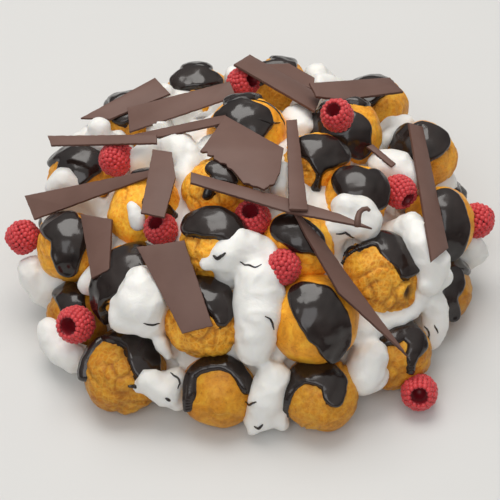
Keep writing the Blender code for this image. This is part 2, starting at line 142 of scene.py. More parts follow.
# ---- whipped cream: the mound, and the dollops that show, each a run of soft balls (x, y, z, radius)
MOUND = ((22, 86), (52, 77), (76, 61), (91, 42), (98, 22), (97, 8), (93, -6))
DOLLOPS = {
    "left_low": ((-126, -15, 26, 10), (-122, -20, 14, 8), (-112, -22, 30, 8)),
    "left_front": ((-114, -57, 18, 9), (-109, -64, 13, 9), (-101, -71, 15, 8)),
    "peaked_dollop": ((-61, -77, 61, 14), (-60, -69, 67, 10), (-70, -80, 55, 9), (-58, -83, 54, 9)),
    "thread": ((-52, -90, 45, 2.8), (-48, -92, 36, 2.8)),
    "foot_left": ((-58, -102, 28, 7), (-50, -104, 21, 8), (-45, -98, 24, 7)),
    "smear_top": ((-15, -66, 82, 9), (-8, -60, 85, 9), (4, -62, 79, 9)),
    "long_smear": ((1, -75, 73, 12), (1, -87, 62, 12), (-2, -98, 47, 10)),
    "foot_middle": ((8, -106, 32, 9), (3, -111, 22, 10), (-2, -115, 10, 7), (8, -113, 12, 7)),
    "foot_right": ((60, -94, 32, 9), (55, -100, 23, 10), (62, -98, 20, 7)),
    "under_mid_05": ((50, -84, 40, 6), (62, -78, 38, 7), (76, -72, 39, 6), (87, -63, 40, 6)),
    "right_low": ((98, -62, 36, 7), (97, -66, 26, 8), (94, -68, 17, 7)),
    "right_tongue": ((84, -38, 72, 8), (90, -47, 69, 10), (95, -55, 61, 10), (94, -60, 53, 7)),
    "top_right": ((49, -38, 87, 8), (58, -37, 84, 8), (61, -43, 80, 7), (42, -48, 83, 7)),
    "by_mid_07": ((73, 13, 73, 8), (83, 13, 69, 10), (91, 5, 66, 8)),
    "back_right": ((84, 63, 61, 6), (92, 66, 59, 6), (80, 48, 64, 4)),
    "back_top": ((42, 82, 78, 7), (52, 84, 74, 7)),
    "centre_back": ((28, 46, 83, 9), (29, 35, 84, 7)),
    "centre": ((14, -26, 94, 5), (17, -13, 95, 5)),
    "behind_shards": ((-47, 88, 66, 7), (-38, 88, 64, 8)),
    "back_left": ((-90, 66, 61, 7), (-101, 62, 57, 7), (-80, 58, 60, 7)),
    "left_peak": ((-108, 24, 62, 7), (-114, 22, 57, 6)),
    "top_left": ((-63, 22, 77, 7), (-52, 31, 80, 8), (-41, 22, 82, 10), (-33, 9, 83, 8), (-37, -3, 82, 7)),
    "top_left_tail": ((-35, -12, 79, 6), (-29, -20, 76, 5)),
    "left_mid": ((-76, -24, 58, 6), (-68, -27, 60, 6), (-92, -45, 44, 6)),
    "right_far": ((127, -8, 22, 8), (122, -10, 32, 8)),
    "front_gap": ((14, -90, 40, 8), (100, -50, 46, 7)),
}
BACK_TIERS = (             # (reach, height, radius, azimuths from and to, step in degrees)
    (116, 34, 12, -2, 178, 24),
    (113, 13, 11, -2, 178, 36),
    (103, 66, 9, 64, 150, 28),
    (78, 66, 10, 30, 150, 34),
)
MOUND_SHOULDER = 5         # rows of the mound's profile from its crown to its widest
ROOT_STEP = 8              # how deep a ball's root goes into the mound
ROOT_FALL = 1.1            # how much a root falls for each millimetre inward
CROWN = 68                 # the height above which roots go straight down
RUN_STEP = 2.5             # millimetres between the balls of a run
LUMPS = 5                  # small balls that make each part of a run uneven
SLENDER = 4                # runs up to this radius get no such balls
SLOPE_LUMPS = 46           # balls that make the mound's bare slope at the back uneven
CREAM_VOXEL = 1.6
CREAM_SMOOTH = 5
CREAM_SWELL, CREAM_SWELL_SIZE = 1.7, 18.0
CREAM_FOLD, CREAM_FOLD_SIZE = 0.8, 11.0
CREAM_BEND, CREAM_BEND_SIZE = 4.0, 12.0     # how the folds wander
CREAM_CURL, CREAM_CURL_SIZE = 0.35, 5.5
PRESS_CREAM, PRESS_CRUST = 14.0, 5.0    # millimetres above a shard that are pressed under it
PRESS_GAP = 0.3
# Pulled peaks and torn ends, as runs of (x, y, z, radius)
PEAKS = (
    ((-60, -74, 70, 8), (-60, -69, 74, 4.5), (-60, -66, 77, 2.2)),
    ((-46, -103, 16, 6), (-43, -105, 13, 4.0)),
    ((-62, -100, 24, 5.5), (-67, -102, 23, 4.0)),
    ((-3, -117, 9, 5), (-5, -120, 6, 3.0)),
    ((9, -116, 10, 5), (12, -118, 7, 3.0)),
    ((-20, -67, 82, 6), (-25, -69, 81, 4.0)),
    ((94, -60, 54, 5), (97, -62, 51, 3.5)),
    ((-64, -26, 83, 4.6), (-63, -30, 81, 4.8), (-62, -32, 78, 4.2)),
)

# ---- raspberries: azimuth and elevation of the side where each one's hollow opens, in order
BERRY_HOLLOWS = ((200, -30), (240, 36), (70, 10), (215, 66), (245, 70), (80, -25), (330, 35), (230, 60),
                 (300, -5), (60, 20), (262, 34), (95, 30))
# The cup under the drupelets, as (radius, height) in shares of the berry's width, its hollow at the top
BERRY_CUP = ((0.0, -0.40), (0.30, -0.36), (0.40, -0.12), (0.43, 0.12), (0.36, 0.34), (0.29, 0.40),
             (0.235, 0.34), (0.20, 0.12), (0.15, -0.10), (0.0, -0.17))
BERRY_FILL = 0.98          # the berry's width as a share of its solid's smallest side
DRUPELET = 2.8             # millimetres across

# ---- shards
SHARD_EDGE_STEP = 1.6
SHARD_CHIP = 0.28
SHARD_TORN = {"shard_11": 1.5}          # chip of the edge that faces the front
SHARD_BEVEL = 0.22

# The short strip that lies on the cream: its middle, its turn in degrees, its half-sizes and its thickness
STRIP = ((73, 12, 81.5), (0, 13, -47), (9.5, 2.1), 1.5)
# The thin curl at the tip of shard_10, as (x, y, z, radius)
HOOK = ((53, -65, 100, 1.9), (53.6, -60.5, 101.5, 1.7), (54.6, -57.2, 102, 1.5), (56.5, -55.2, 102.3, 1.3),
        (58.8, -54.6, 102.3, 1.2), (60, -56, 102, 0.9))

# ---- chocolate threads and smears: (radius, places), each place laid on the nearest surface
THREADS = (
    (0.55, ((-59, -91, 61), (-55, -92, 59), (-50, -89, 58))),
    (1.0, ((-22, -70, 87), (-19, -72, 87), (-15, -71, 90))),
    (0.55, ((-8, -72, 85), (-4, -75, 84), (0, -77, 85), (3, -75, 85))),
    (0.6, ((4, -97, 69), (6, -97, 67), (8, -98, 64), (8, -99, 60))),
    (0.6, ((-47, -99, 31), (-43, -102, 30), (-42, -104, 27), (-43, -107, 26))),
    (0.9, ((-50, -111, 25), (-47, -111, 23))),
    (1.1, ((-70, -104, 27), (-66, -104, 27), (-63, -105, 24))),
    (0.7, ((-7, -114, 22), (-5, -117, 24), (-2, -119, 28))),
    (0.8, ((-3, -122, 12), (-1, -123, 11), (1, -123, 14))),
    (0.5, ((91, -70, 28), (93, -73, 26), (94, -75, 23))),
    (0.5, ((96, -72, 31), (98, -74, 26))),
    (0.6, ((5, 21, 103), (11, 21, 100), (18, 28, 95))),
    (0.7, ((2, 41, 103), (10, 41, 99), (16, 35, 97), (20, 30, 91))),
    (0.7, ((43, -54, 84), (48, -52, 84), (53, -51, 78))),
    (1.2, ((44, -55, 63), (48, -51, 65), (52, -50, 69), (57, -52, 74))),
)
THREAD_STEP = 0.8
THREAD_SIDES = 8
THREAD_BEND, THREAD_BEND_SIZE = 0.9, 4.0

# ---- camera and light
CAMERA_PLACE = (-0.0024, -0.599, 0.6018)
CAMERA_TILT = 44.03
CAMERA_ROLL = -2.09
LENS, SENSOR = 102.96, 36.0
FLOOR_SIDE, FLOOR_DROP = 6.0, 0.0004
FLOOR_LOW, FLOOR_HIGH = (0.655, 0.655, 0.645), (0.675, 0.673, 0.66)
ROOM = ((0.0, (0.08, 0.09, 0.11)), (0.9, (1.0, 0.99, 0.97)))    # colours by the sine of the elevation
ROOM_STRENGTH = 0.66
LIGHT_AIM = (0, 0, 0.05)
LIGHTS = (                 # name, place, size, power and colour
    ("ceiling", (-0.10, 0.50, 1.5), 1.1, 15.0, (1.0, 0.975, 0.94)),
    ("front", (-0.45, -1.5, 1.6), 1.4, 11.0, (0.97, 0.98, 1.0)),
)


# ---- helpers

def direction(azimuth, elevation):
    """The unit vector for an azimuth and an elevation in degrees."""
    turn, rise = math.radians(azimuth), math.radians(elevation)
    return Vector((math.cos(turn) * math.cos(rise), math.sin(turn) * math.cos(rise), math.sin(rise)))


def new_object(name, mesh, material, replaced=()):
    """Put a finished mesh in the scene as a piece of the cake, and hand its object back."""
    mesh.materials.clear()
    mesh.materials.append(material)
    obj = bpy.data.objects.new(name, mesh)
    bpy.context.scene.collection.objects.link(obj)
    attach(obj, "root")
    if replaced:
        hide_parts(*replaced)
    return obj


def mesh_from(name, points, faces):
    """A smooth-shaded mesh from points in metres and faces."""
    mesh = bpy.data.meshes.new(name)
    mesh.from_pydata([tuple(point) for point in points], [], [tuple(int(i) for i in face) for face in faces])
    mesh.shade_smooth()
    return mesh


def mesh_of(shape, name):
    """A smooth-shaded mesh from a bmesh, which is freed."""
    mesh = bpy.data.meshes.new(name)
    shape.to_mesh(mesh)
    shape.free()
    mesh.shade_smooth()
    return mesh


def turn_profile(shape, profile, steps, merge):
    """Add to a bmesh the closed skin that a profile of (radius, height) makes when it is turned about Z."""
    verts = [shape.verts.new((radius, 0, height)) for radius, height in profile]
    edges = [shape.edges.new(pair) for pair in zip(verts, verts[1:])]
    bmesh.ops.spin(shape, geom=verts + edges, cent=(0, 0, 0), axis=(0, 0, 1), angle=math.tau, steps=steps)
    bmesh.ops.remove_doubles(shape, verts=shape.verts, dist=merge)
    bmesh.ops.recalc_face_normals(shape, faces=shape.faces)


def vertex_arrays(mesh):
    """The places and the normals of a mesh's vertices."""
    arrays = []
    for source, key in ((mesh.vertices, "co"), (mesh.vertex_normals, "vector")):
        values = np.empty(len(mesh.vertices) * 3)
        source.foreach_get(key, values)
        arrays.append(values.reshape(-1, 3))
    return arrays


def add_attribute(mesh, name, values):
    """Store one number at each vertex, for the material."""
    layer = mesh.attributes.new(name, "FLOAT", "POINT")
    layer.data.foreach_set("value", np.asarray(values, np.float32))


def tree_of(mesh):
    """A search tree over a mesh's faces."""
    faces = [tuple(polygon.vertices) for polygon in mesh.polygons]
    return BVHTree.FromPolygons([vert.co for vert in mesh.vertices], faces)


def sphere_grid(cells):
    """Directions, quads and edges of a cube blown up to a sphere."""
    steps = np.tan(np.linspace(-1, 1, cells + 1) * math.pi / 4)
    first, second = (values[..., None] for values in np.meshgrid(steps, steps, indexing="ij"))
    corner = np.arange((cells + 1) ** 2).reshape(cells + 1, cells + 1)
    quad = np.stack([corner[:-1, :-1], corner[1:, :-1], corner[1:, 1:], corner[:-1, 1:]], axis=-1)
    sides = []
    for axis in range(3):
        normal, across, along = np.roll(np.eye(3), -axis, axis=0)
        sides += [normal + first * across + second * along, first * along + second * across - normal]
    points = np.concatenate(sides).reshape(-1, 3)
    points /= np.linalg.norm(points, axis=1)[:, None]
    _, kept, index = np.unique(np.round(points, 5), axis=0, return_index=True, return_inverse=True)
    quads = np.concatenate([quad.reshape(-1, 4) + corner.size * number for number in range(len(sides))])
    quads = index.reshape(-1)[quads]
    pairs = np.concatenate([quads[:, [side, (side + 1) % 4]] for side in range(4)])
    return points[kept], quads, np.unique(np.sort(pairs, axis=1), axis=0)


def smoothed(values, edges, times):
    """Average each value with its neighbours, many times over."""
    start, end = edges[:, 0], edges[:, 1]
    count = np.bincount(edges.ravel(), minlength=len(values))
    for _ in range(times):
        total = np.bincount(start, weights=values[end], minlength=len(values))
        total += np.bincount(end, weights=values[start], minlength=len(values))
        values = (values + total / count) / 2
    return values


# ---- materials

class Shader:
    """A Principled material and short calls for the nodes that feed it."""

    def __init__(self, name, **constants):
        self.material = bpy.data.materials.new(name)
        self.material.use_nodes = True
        self.tree = self.material.node_tree
        self.principled = self.tree.nodes["Principled BSDF"]
        for socket, value in constants.items():
            self.principled.inputs[socket.replace("_", " ")].default_value = value
        self.place = self.node("ShaderNodeTexCoord").outputs["Object"]

    def node(self, kind, **settings):
        """A new node with these settings."""
        made = self.tree.nodes.new(kind)
        for key, value in settings.items():
            setattr(made, key, value)
        return made

    def put(self, value, socket):
        """Link an output to a socket, or set the socket to three numbers or to one."""
        if hasattr(value, "links"):
            self.tree.links.new(value, socket)
        else:
            socket.default_value = (*value, 1.0) if hasattr(value, "__len__") else value

    def noise(self, scale, detail=4.0, roughness=0.55, distortion=0.0, place=None, output="Fac"):
        """Soft noise over the piece: the scale is its cells to the metre."""
        made = self.node("ShaderNodeTexNoise")
        for name, value in (("Scale", scale), ("Detail", detail), ("Roughness", roughness),
                            ("Distortion", distortion), ("Vector", place or self.place)):
            self.put(value, made.inputs[name])
        return made.outputs[output]

    def warped(self, scale, amount):
        """The place on the piece, pushed about by noise."""
        push = self.node("ShaderNodeVectorMath", operation="SCALE")
        self.put(self.noise(scale, 2.0, 0.5, output="Color"), push.inputs[0])
        self.put(amount, push.inputs["Scale"])
        total = self.node("ShaderNodeVectorMath", operation="ADD")
        self.put(self.place, total.inputs[0])
        self.put(push.outputs[0], total.inputs[1])
        return total.outputs[0]

    def product(self, first, *factors):
        """A socket multiplied by others, each a socket or a number."""
        for factor in factors:
            made = self.node("ShaderNodeMath", operation="MULTIPLY")
            self.put(first, made.inputs[0])
            self.put(factor, made.inputs[1])
            first = made.outputs[0]
        return first

    def attribute(self, name):
        """The number stored at each vertex under a name."""
        return self.node("ShaderNodeAttribute", attribute_name=name).outputs["Fac"]

    def ramp(self, source, *stops):
        """A colour ramp: stops of (position, colour)."""
        made = self.node("ShaderNodeValToRGB")
        elements = made.color_ramp.elements
        while len(elements) < len(stops):
            elements.new(0.5)
        for element, (position, colour) in zip(elements, stops):
            element.position = position
            element.color = (*colour, 1.0)
        self.put(source, made.inputs["Fac"])
        return made.outputs["Color"]

    def blend(self, share, first, second, mode="MIX"):
        """Mix two colours, each a socket or three numbers, by a socket or a number."""
        made = self.node("ShaderNodeMix", data_type="RGBA", blend_type=mode)
        for value, number in ((share, 0), (first, 6), (second, 7)):
            self.put(value, made.inputs[number])
        return made.outputs[2]

    def spread(self, source, low, high, from_low=0.0, from_high=1.0):
        """A value carried over from one range to another."""
        made = self.node("ShaderNodeMapRange")
        for value, socket in zip((source, from_low, from_high, low, high), made.inputs):
            self.put(value, socket)
        return made.outputs[0]

    def bump(self, height, strength, distance, after=None):
        """The normal of a skin roughened by a height, up to a distance in millimetres, over another normal."""
        made = self.node("ShaderNodeBump")
        self.put(strength, made.inputs["Strength"])
        self.put(distance * MM, made.inputs["Distance"])
        self.put(height, made.inputs["Height"])
        if after is not None:
            self.put(after, made.inputs["Normal"])
        return made.outputs["Normal"]

    def feed(self, **sockets):
        """The material, with sockets linked to the inputs of these names."""
        for name, source in sockets.items():
            self.put(source, self.principled.inputs[name.replace("_", " ")])
        return self.material


def choux_material():
    """Baked choux: golden, browner on the raised plates, paler in the cracks, finely mottled and pored.
    Painted shade darkens the deep cracks, the creases and the burst bubble's pit; the low ring of buns is
    painted darker as shade and the top ring lighter as light.
    """
    shader = Shader("choux_crust", Specular_IOR_Level=0.3)
    patches = shader.noise(100.0, 5.0, 0.62, 0.9)
    mottle = shader.noise(380.0, 6.0, 0.66, 0.3)
    fine = shader.noise(700.0, 5.0, 0.62)
    relief = shader.attribute("relief")
    gold, amber, brown = (0.93, 0.475, 0.042), (0.80, 0.295, 0.014), (0.50, 0.145, 0.006)
    tone = shader.ramp(patches, (0.36, gold), (0.50, amber), (0.68, brown))
    height = shader.ramp(relief, (0.20, (0.95, 0.52, 0.075)), (0.50, gold), (0.88, brown))
    colour = shader.blend(0.35, tone, height)
    toasted = shader.ramp(mottle, (0.38, (1.08, 1.12, 1.20)), (0.52, (0.95, 0.90, 0.83)),
                          (0.68, (0.72, 0.55, 0.42)))
    crag = shader.attribute("crag")
    colour = shader.blend(shader.spread(crag, 0.25, 0.9), colour, toasted, "MULTIPLY")
    crackle = shader.node("ShaderNodeTexVoronoi", feature="DISTANCE_TO_EDGE")
    crackle.inputs["Scale"].default_value = 260.0
    shader.put(shader.warped(90.0, 0.007), crackle.inputs["Vector"])
    lines = shader.ramp(crackle.outputs["Distance"], (0.0, (1.0, 1.0, 1.0)), (0.16, (0.0, 0.0, 0.0)))
    colour = shader.blend(shader.product(lines, crag, 0.42), colour, (0.97, 0.64, 0.13))
    speckle = shader.ramp(fine, (0.33, (0.60, 0.44, 0.34)), (0.42, (1.0, 1.0, 1.0)))
    colour = shader.blend(0.6, colour, speckle, "MULTIPLY")
    # Painted shade on the low ring of buns and painted light on the top ring, with each bun's own random tone
    bake = shader.spread(shader.attribute("bake"), 0.0, 1.0, -0.2, 0.8)
    shade = shader.ramp(bake, (0.0, (1.31, 1.30, 1.08)), (1.0, (0.2, 0.16, 0.12)))
    colour = shader.blend(1.0, colour, shade, "MULTIPLY")
    # Painted shade: the deep cracks and the creases darkened to brown
    colour = shader.blend(shader.product(shader.attribute("crack"), crag, 0.75), colour, (0.30, 0.085, 0.008))
    # Painted shade: the inside of the burst bubble's pit painted nearly black
    colour = shader.blend(shader.attribute("pit"), colour, (0.045, 0.016, 0.008))
    pores = shader.bump(fine, 0.3, 0.4)
    skin = shader.bump(shader.product(mottle, crag, 1.0), 0.8, 1.2, pores)
    return shader.feed(Base_Color=colour, Roughness=shader.spread(patches, 0.34, 0.54), Normal=skin)


def glaze_material():
    """Poured chocolate: dark, satin in cloudy patches, with faint streaks."""
    shader = Shader("chocolate_glaze", Specular_IOR_Level=0.42, Coat_Weight=0.3, Coat_Roughness=0.07)
    cloud = shader.noise(60.0, 4.0, 0.5, 0.8)
    colour = shader.ramp(cloud, (0.35, (0.012, 0.0070, 0.0055)), (0.65, (0.021, 0.0120, 0.0095)))
    ripple = shader.bump(shader.noise(130.0, 3.0, 0.5), 0.22, 0.8)
    return shader.feed(Base_Color=colour, Roughness=shader.spread(cloud, 0.15, 0.28, 0.3, 0.7), Normal=ripple)


def shard_material():
    """Set dark chocolate, matt and faintly streaked along its length by the spatula, with painted shade on its
    edges and underside.
    """
    shader = Shader("chocolate_shard", Specular_IOR_Level=0.35)
    stretched = shader.node("ShaderNodeMapping")
    stretched.inputs["Scale"].default_value = (1.0, 3.2, 1.0)
    shader.put(shader.place, stretched.inputs["Vector"])
    streaks = shader.noise(110.0, 5.0, 0.6, place=stretched.outputs["Vector"])
    cloud = shader.noise(45.0, 3.0, 0.5)
    broken = shader.attribute("broken")
    colour = shader.ramp(cloud, (0.3, (0.128, 0.066, 0.050)), (0.7, (0.158, 0.086, 0.067)))
    colour = shader.blend(shader.spread(streaks, 0.0, 0.35), colour, (0.175, 0.105, 0.088))
    # Painted shade: the edges and the underside darkened
    colour = shader.blend(broken, colour, (0.105, 0.049, 0.036))
    grain = shader.bump(streaks, 0.18, 0.4)
    return shader.feed(Base_Color=colour, Roughness=shader.spread(streaks, 0.46, 0.6), Normal=grain)


def cream_material():
    """Whipped cream: soft white, barely warm, with tiny bubbles."""
    shader = Shader("whipped_cream", Specular_IOR_Level=0.4, Roughness=0.42, Subsurface_Weight=0.25,
                    Subsurface_Radius=(1.0, 0.85, 0.65), Subsurface_Scale=2.5 * MM)
    cloud = shader.noise(38.0, 3.0, 0.5)
    colour = shader.ramp(cloud, (0.3, (0.84, 0.83, 0.79)), (0.7, (0.88, 0.87, 0.835)))
    froth = shader.bump(shader.noise(520.0, 4.0, 0.6), 0.25, 0.4)
    soft = shader.bump(shader.noise(110.0, 4.0, 0.55, 0.6), 0.5, 1.3, froth)
    return shader.feed(Base_Color=colour, Normal=soft)


def berry_material():
    """Raspberry: crimson skin with a bloom, darkened as painted shade where the drupelets meet and on the cup
    in the hollow.
    """
    shader = Shader("raspberry_skin", Specular_IOR_Level=0.5, Subsurface_Weight=0.15,
                    Subsurface_Scale=1.2 * MM, Subsurface_Radius=(1.0, 0.25, 0.2), Sheen_Weight=0.35,
                    Sheen_Roughness=0.4, Sheen_Tint=(1.0, 0.75, 0.75, 1.0))
    bloom = shader.noise(330.0, 4.0, 0.6)
    # Painted shade: dark crimson deep between the drupelets and on the cup
    depth = shader.attribute("outside")
    skin = shader.ramp(bloom, (0.3, (0.50, 0.018, 0.026)), (0.7, (0.72, 0.062, 0.066)))
    colour = shader.blend(depth, (0.24, 0.006, 0.014), skin)
    dust = shader.bump(bloom, 0.25, 0.25)
    return shader.feed(Base_Color=colour, Roughness=shader.spread(bloom, 0.34, 0.55), Normal=dust)


# ---- pressing: whatever lies under a shard gives way to it

def shard_outline(name):
    """A shard's upper outline, as points in order, its upward normal and its thickness."""
    shape = bmesh.new()
    shape.from_mesh(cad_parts[name].data)
    bmesh.ops.remove_doubles(shape, verts=shape.verts, dist=0.01 * MM)
    shape.normal_update()
    normal = max(shape.faces, key=lambda face: face.calc_area()).normal.copy()
    if normal.z < 0:
        normal = -normal
    upper = {face for face in shape.faces if face.normal.dot(normal) > 0.99}
    follow = {}
    for edge in shape.edges:
        inner = [face for face in edge.link_faces if face in upper]
        if len(inner) == 1:
            loop = next(loop for loop in inner[0].loops if loop.edge == edge)
            follow[loop.vert] = loop.link_loop_next.vert
    start = next(iter(follow))
    points, vert = [start.co.copy()], follow[start]
    while vert != start:
        points.append(vert.co.copy())
        vert = follow[vert]
    thickness = max((points[0] - vert.co).dot(normal) for vert in shape.verts)
    shape.free()
    return points, normal, thickness


def strip_outline():
    """The short strip, given like a shard's outline."""
    place, turn, (long, wide), thickness = STRIP
    turn = Euler([math.radians(angle) for angle in turn]).to_matrix()
    matrix = Matrix.Translation(Vector(place) * MM) @ turn.to_4x4()
    corners = ((-long, -wide), (long, -wide * 0.7), (long, wide), (-long * 0.9, wide))
    points = [matrix @ (Vector((x, y, 0)) * MM) for x, y in corners]
    return points, turn @ Vector((0, 0, 1)), thickness * MM


def press_under_shards(points, reach):
    """Move what a shard would cut through, up to a reach above it, to just under it."""
    for outline, normal, thickness in SHARD_PLATES.values():
        middle = sum(outline, Vector()) / len(outline)
        across = normal.orthogonal().normalized()
        along = normal.cross(across)
        flat = [((point - middle).dot(across), (point - middle).dot(along)) for point in outline]
        place = points - np.array(middle)
        x, y, height = place @ np.array(across), place @ np.array(along), place @ np.array(normal)
        inside = np.zeros(len(points), bool)
        for (x_1, y_1), (x_2, y_2) in zip(flat, flat[1:] + flat[:1]):
            if y_1 != y_2:
                inside ^= ((y_1 > y) != (y_2 > y)) & (x < (x_2 - x_1) * (y - y_1) / (y_2 - y_1) + x_1)
        floor = -thickness - PRESS_GAP * MM
        pressed = inside & (height > floor) & (height < reach * MM)
        points[pressed] += np.outer(floor - height[pressed], np.array(normal))


# ---- buns

class Bun:
    """The smooth round form of one bun, read from its solid."""

    def __init__(self, name, number):
        self.name = name
        low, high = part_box(name)
        self.middle = (low + high) / 2
        self.size = (high.x - low.x + high.y - low.y) / 4 / MM
        self.shift = Vector((number * 7.3, number * 3.1, number * 5.7))
        points, quads, edges = CRUST_GRID
        tree = tree_of(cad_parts[name].data)
        radii = np.full(len(points), self.size * MM)
        for i, point in enumerate(points):
            hit = tree.ray_cast(self.middle, Vector(point))[3]
            if hit is not None:
                radii[i] = hit
        times = round(4 * (FACET_BLUR / (90 / CRUST_CELLS)) ** 2)
        self.radii = smoothed(radii, edges, times) * BUN_FILL
        shape = np.array(self.middle) + points * self.radii[:, None]
        self.tree = BVHTree.FromPolygons([Vector(point) for point in shape], [tuple(quad) for quad in quads])

    def reach(self, point):
        """How far the smooth form reaches in a direction."""
        return self.tree.ray_cast(self.middle, point)[3] or self.size * MM


def crust_relief(bun, point, crag):
    """How far the crust stands above the smooth form in a direction, and how much of a crack it is there."""
    place = point * bun.size + bun.shift * 10
    warp = noise.noise_vector(place / CRACK_BEND_SIZE) * CRACK_BEND
    near = noise.voronoi((place + warp) / PLATE_SIZE)[0]
    crack = math.exp(-((near[1] - near[0]) / CRACK_WIDTH) ** 2)
    dome = 0.45 - near[0]
    patch = min(1.0, max(0.0, 0.5 + 1.6 * noise.noise(place / PATCH_SIZE)))
    lump = noise.noise(place / LUMP_SIZE) * LUMP_HEIGHT
    grain = noise.fractal(place / GRAIN_SIZE, 0.9, 2.0, 3) * GRAIN_HEIGHT
    side = point.dot(bun.crease) + 0.22 * noise.noise(point * 2.2 + bun.shift) + 0.12
    lip = math.exp(-((abs(side) - CREASE_LIP) / CREASE_LIP_WIDTH) ** 2)
    seam = math.exp(-(side / CREASE_WIDTH) ** 2) - 0.4 * lip
    length = min(1.0, max(0.0, 0.4 + 1.8 * noise.noise(point * 1.4 - bun.shift)))
    rough = crag * (0.35 + 0.65 * patch)
    relief = (lump * (0.5 + 0.5 * crag) + (grain - CRACK_DEPTH * crack + PLATE_DOME * dome) * rough
              - CREASE_DEPTH * seam * length * (0.3 + 0.7 * crag))
    return relief, max(crack * patch, max(0.0, seam) * length)


def make_crust(bun, strokes, material, rng):
    """The bun itself: its round form with the crust's cracks, lumps and creases, lower under the glaze."""
    points, quads, _ = CRUST_GRID
    crag = CRAG.get(bun.name, CRAG_USUAL)
    bun.crease = direction(rng.uniform(0, 360), rng.uniform(30, 80))
    relief, crack = np.array([crust_relief(bun, Vector(point), crag) for point in points]).T
    covered = glaze_field(bun, strokes, points) > 0.6
    relief[covered] = np.minimum(relief[covered], GLAZE_BED)
    pit = np.zeros(len(points))
    if bun.name in PITS:
        azimuth, elevation, radius, depth = PITS[bun.name]
        off = np.arccos(np.clip(points @ np.array(direction(azimuth, elevation)), -1, 1)) * bun.size / radius
        pit = np.exp(-off ** 4)
        relief += PIT_RIM * np.exp(-((off - PIT_RIM_PLACE) / PIT_RIM_WIDTH) ** 2) - depth * pit
    shape = np.array(bun.middle) + points * (bun.radii + relief * MM)[:, None]
    press_under_shards(shape, PRESS_CRUST)
    shape[:, 2] = np.maximum(shape[:, 2], 0.0)
    mesh = mesh_from(bun.name, shape, quads)
    # Painted shade for the low ring and painted light for the top ring, plus this bun's own random tone
    bake = RING_PAINTED_SHADE[bun.name.split("_")[0]] + rng.uniform(-BUN_TONE_RANGE, BUN_TONE_RANGE)
    add_attribute(mesh, "relief", 0.5 + relief / RELIEF_RANGE)
    # The pit's mask, which the material fills with painted shade
    add_attribute(mesh, "pit", pit)
    add_attribute(mesh, "crack", crack)
    add_attribute(mesh, "bake", np.full(len(points), bake))
    add_attribute(mesh, "crag", np.full(len(points), min(1.0, crag)))
    new_object("bun_" + bun.name, mesh, material, (bun.name,))


# ---- glaze

def stroke_samples(stroke):
    """Closely spaced (direction, half-width) along a stroke over the sphere."""
    samples = []
    for (azimuth, elevation, width), (azimuth_2, elevation_2, width_2) in zip(stroke, stroke[1:]):
        start, end = direction(azimuth, elevation), direction(azimuth_2, elevation_2)
        steps = max(1, round(math.degrees(start.angle(end)) / 4))
        for step in range(steps + 1):
            share = step / steps
            samples.append((start.slerp(end, share), width + (width_2 - width) * share))
    return samples


def back_glaze(bun, rng):
    """Strokes for a bun that has none of its own: a cap that leans outward, with runs."""
    outward = math.degrees(math.atan2(bun.middle.y, bun.middle.x))
    strokes = [((outward + 150, 80, BACK_CAP - 12), (outward, 70, BACK_CAP))]
    for run in range(BACK_RUNS):
        azimuth = outward + (run - 1) * BACK_RUN_TURN + rng.uniform(-14, 14)
        end = (azimuth + rng.uniform(-8, 8), rng.uniform(-8, 28), rng.uniform(6, 9))
        strokes.append(((azimuth, 50, 14), end))
    return strokes


def glaze_field(bun, strokes, points):
    """Distance inside the glaze's edge at each direction, in millimetres: below 0 outside."""
    best = None
    for stroke in strokes:
        directions, widths = (np.array(values) for values in zip(*stroke_samples(stroke)))
        angles = np.degrees(np.arccos(np.clip(points @ directions.T, -1, 1)))
        inside = (widths[None, :] - angles).max(axis=1)
        if best is not None:
            inside = np.logaddexp(best * GLAZE_MERGE, inside * GLAZE_MERGE) / GLAZE_MERGE
        best = inside
    field = np.radians(best) * bun.size
    wave = [noise.noise(Vector(point) * bun.size / GLAZE_WAVE_SIZE + bun.shift) for point in points]
    return field + np.array(wave) * GLAZE_WAVE


def glaze_height(bun, point, inside):
    """How far the glaze stands above the smooth bun, in millimetres, or below it outside its edge."""
    if inside <= 0:
        return max(-GLAZE_SINK, inside)
    edge = min(1.0, inside / GLAZE_LIP)
    pooled = math.exp(-((inside - 2.2) / 2.0) ** 2) * max(0.0, 0.75 - point.z) * GLAZE_POOL
    place = point * bun.size + bun.shift
    swell = sum(height * noise.noise(place / size) for height, size in GLAZE_SWELLS)
    return (GLAZE_THICKNESS + pooled + swell) * math.sqrt(1 - (1 - edge) ** 2)


def make_glaze(bun, strokes, material):
    """The poured glaze over one bun: a shell with a rounded lip, its border tucked under the crust."""
    points, quads, _ = GLAZE_GRID
    field = glaze_field(bun, strokes, points)
    shape = bmesh.new()
    verts = [shape.verts.new(point) for point in points]
    for quad in quads:
        if field[quad].max() > -GLAZE_SPARE:
            shape.faces.new([verts[i] for i in quad])
    bmesh.ops.delete(shape, geom=[vert for vert in shape.verts if not vert.link_faces], context="VERTS")
    for band in GLAZE_FINE:
        near = np.abs(glaze_field(bun, strokes, unit_points(shape)) - 0.5) < band
        edges = [edge for edge in shape.edges if near[edge.verts[0].index] or near[edge.verts[1].index]]
        bmesh.ops.subdivide_edges(shape, edges=edges, cuts=1, use_grid_fill=True)
    points = unit_points(shape)
    field = glaze_field(bun, strokes, points)
    for vert, point, inside in zip(list(shape.verts), points, field):
        point = Vector(point)
        vert.co = bun.middle + point * (bun.reach(point) + glaze_height(bun, point, inside) * MM)
    outside = [face for face in shape.faces if all(field[vert.index] < -GLAZE_SINK for vert in face.verts)]
    bmesh.ops.delete(shape, geom=outside, context="FACES")
    mesh = mesh_of(shape, "glaze_" + bun.name)
    points, _ = vertex_arrays(mesh)
    press_under_shards(points, PRESS_CRUST)
    mesh.vertices.foreach_set("co", points.ravel())
    new_object("glaze_" + bun.name, mesh, material)


def unit_points(shape):
    """The directions of a shape's vertices."""
    shape.verts.index_update()
    points = np.array([vert.co for vert in shape.verts])
    return points / np.linalg.norm(points, axis=1)[:, None]


# ---- cream

